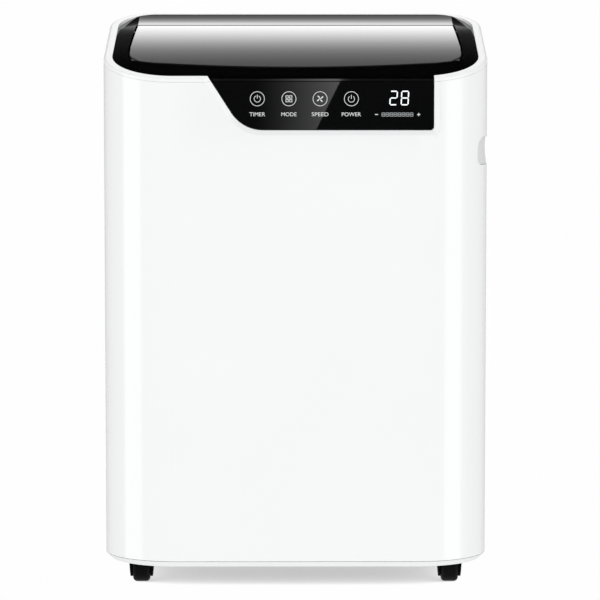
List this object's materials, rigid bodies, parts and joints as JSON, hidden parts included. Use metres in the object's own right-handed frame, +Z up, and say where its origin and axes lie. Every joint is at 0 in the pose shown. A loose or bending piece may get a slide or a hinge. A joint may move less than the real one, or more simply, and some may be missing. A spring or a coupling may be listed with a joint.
{
  "type": "dehumidifier",
  "caption": "Portable compressor dehumidifier: white tower casing on castors, sloping top with powered air flap, touch panel, rear intake filter and pull-out water tank.",
  "frame": {"origin": "on the floor under the middle of the casing's plan", "axes": "+Z up, the front with the touch panel faces -Y, +X to the right of a person facing that front"},
  "size_m": [0.355, 0.196, 0.5311],
  "materials": {
    "casing_white": "satin to gloss white moulding",
    "bezel_black": "piano black",
    "flap_smoke": "dark smoke gloss",
    "panel_glass": "back-printed black glass",
    "black_plastic": "fine matte moulding",
    "grey_plastic": "fine matte moulding",
    "inner_white": "matte moulding",
    "tank_clear": "frosted translucent plastic",
    "clear_window": "clear plastic",
    "galvanised": "zinc plated sheet",
    "compressor_black": "black stove enamel",
    "copper": "drawn copper tube",
    "fin_aluminium": "thin fin pack",
    "steel": "zinc plated",
    "wheel_nylon": "nylon",
    "rubber_black": "moulded rubber",
    "filter_net": "fine woven filter net",
    "board_green": "printed circuit board"
  },
  "bodies": {
    "casing": {"accumulator": "galvanised", "base_pan": "casing_white", "casing_screws": "steel", "castor_sockets": "black_plastic", "compressor": "compressor_black", "compressor_mounts": "rubber_black", "condenser_coil": "fin_aluminium", "control_box": "inner_white", "control_box_lid": "inner_white", "cord_gland": "black_plastic", "display_board": "board_green", "drain_hose": "rubber_black", "drain_spout": "casing_white", "drip_tray": "grey_plastic", "evaporator_coil": "fin_aluminium", "fan_motor": "galvanised", "fan_scroll_front": "inner_white", "fan_scroll_rear": "inner_white", "flap_bushes": "black_plastic", "flap_stepper": "black_plastic", "float_switch": "black_plastic", "front_shell": "casing_white", "humidity_sensor": "grey_plastic", "mid_deck": "grey_plastic", "outlet_duct": "black_plastic", "outlet_guard": "black_plastic", "panel_carrier": "black_plastic", "panel_glass": "panel_glass", "power_board": "board_green", "rear_shell": "casing_white", "refrigerant_pipes": "copper", "run_capacitor": "galvanised", "side_grips": "casing_white", "tank_bay": "grey_plastic", "top_bezel": "bezel_black", "top_collar": "casing_white"},
    "flap": {"outlet_flap": "flap_smoke", "flap_pins": "steel"},
    "castor_front_left": {"castor_fork_front_left": "black_plastic"},
    "wheel_front_left": {"castor_wheel_front_left": "wheel_nylon"},
    "castor_front_right": {"castor_fork_front_right": "black_plastic"},
    "wheel_front_right": {"castor_wheel_front_right": "wheel_nylon"},
    "castor_rear_left": {"castor_fork_rear_left": "black_plastic"},
    "wheel_rear_left": {"castor_wheel_rear_left": "wheel_nylon"},
    "castor_rear_right": {"castor_fork_rear_right": "black_plastic"},
    "wheel_rear_right": {"castor_wheel_rear_right": "wheel_nylon"},
    "fan": {"fan_impeller": "inner_white", "fan_shaft": "steel", "fan_nut": "steel"},
    "tank": {"water_tank": "tank_clear", "tank_lid": "tank_clear", "tank_face": "casing_white", "level_window": "clear_window", "float_bracket": "inner_white"},
    "handle": {"tank_handle": "grey_plastic"},
    "float": {"tank_float": "inner_white"},
    "intake": {"intake_grille": "casing_white", "filter_frame": "grey_plastic", "filter_mesh": "filter_net"},
    "plug": {"drain_plug": "casing_white"}
  },
  "joints": [
    {"name": "flap_hinge", "type": "hinge", "parent": "casing", "child": "flap", "pos_m": [0, 0.05068, 0.51154], "axis": [-1, 0, 0], "range_deg": [0, 75]},
    {"name": "fan_spin", "type": "hinge", "parent": "casing", "child": "fan", "pos_m": [0, 0, 0.356], "axis": [0, 1, 0], "continuous": true},
    {"name": "tank_slide", "type": "slide", "parent": "casing", "child": "tank", "axis": [0, 1, 0], "range_m": [0, 0.12]},
    {"name": "handle_hinge", "type": "hinge", "parent": "tank", "child": "handle", "pos_m": [0, 0.04, 0.1975], "axis": [1, 0, 0], "range_deg": [0, 90]},
    {"name": "float_hinge", "type": "hinge", "parent": "tank", "child": "float", "pos_m": [0, 0.0342, 0.168], "axis": [1, 0, 0], "range_deg": [0, 7]},
    {"name": "intake_slide", "type": "slide", "parent": "casing", "child": "intake", "axis": [0, 1, 0], "range_m": [0, 0.045]},
    {"name": "plug_slide", "type": "slide", "parent": "casing", "child": "plug", "axis": [0, 1, 0], "range_m": [0, 0.015]},
    {"name": "swivel_front_left", "type": "hinge", "parent": "casing", "child": "castor_front_left", "pos_m": [-0.1435, -0.04, 0.03], "axis": [0, 0, 1], "continuous": true},
    {"name": "roll_front_left", "type": "hinge", "parent": "castor_front_left", "child": "wheel_front_left", "pos_m": [-0.1435, -0.049, 0.0125], "axis": [1, 0, 0], "continuous": true},
    {"name": "swivel_front_right", "type": "hinge", "parent": "casing", "child": "castor_front_right", "pos_m": [0.1435, -0.04, 0.03], "axis": [0, 0, 1], "continuous": true},
    {"name": "roll_front_right", "type": "hinge", "parent": "castor_front_right", "child": "wheel_front_right", "pos_m": [0.1435, -0.049, 0.0125], "axis": [1, 0, 0], "continuous": true},
    {"name": "swivel_rear_left", "type": "hinge", "parent": "casing", "child": "castor_rear_left", "pos_m": [-0.1435, 0.05, 0.03], "axis": [0, 0, 1], "continuous": true},
    {"name": "roll_rear_left", "type": "hinge", "parent": "castor_rear_left", "child": "wheel_rear_left", "pos_m": [-0.1435, 0.041, 0.0125], "axis": [1, 0, 0], "continuous": true},
    {"name": "swivel_rear_right", "type": "hinge", "parent": "casing", "child": "castor_rear_right", "pos_m": [0.1435, 0.05, 0.03], "axis": [0, 0, 1], "continuous": true},
    {"name": "roll_rear_right", "type": "hinge", "parent": "castor_rear_right", "child": "wheel_rear_right", "pos_m": [0.1435, 0.041, 0.0125], "axis": [1, 0, 0], "continuous": true}
  ]
}
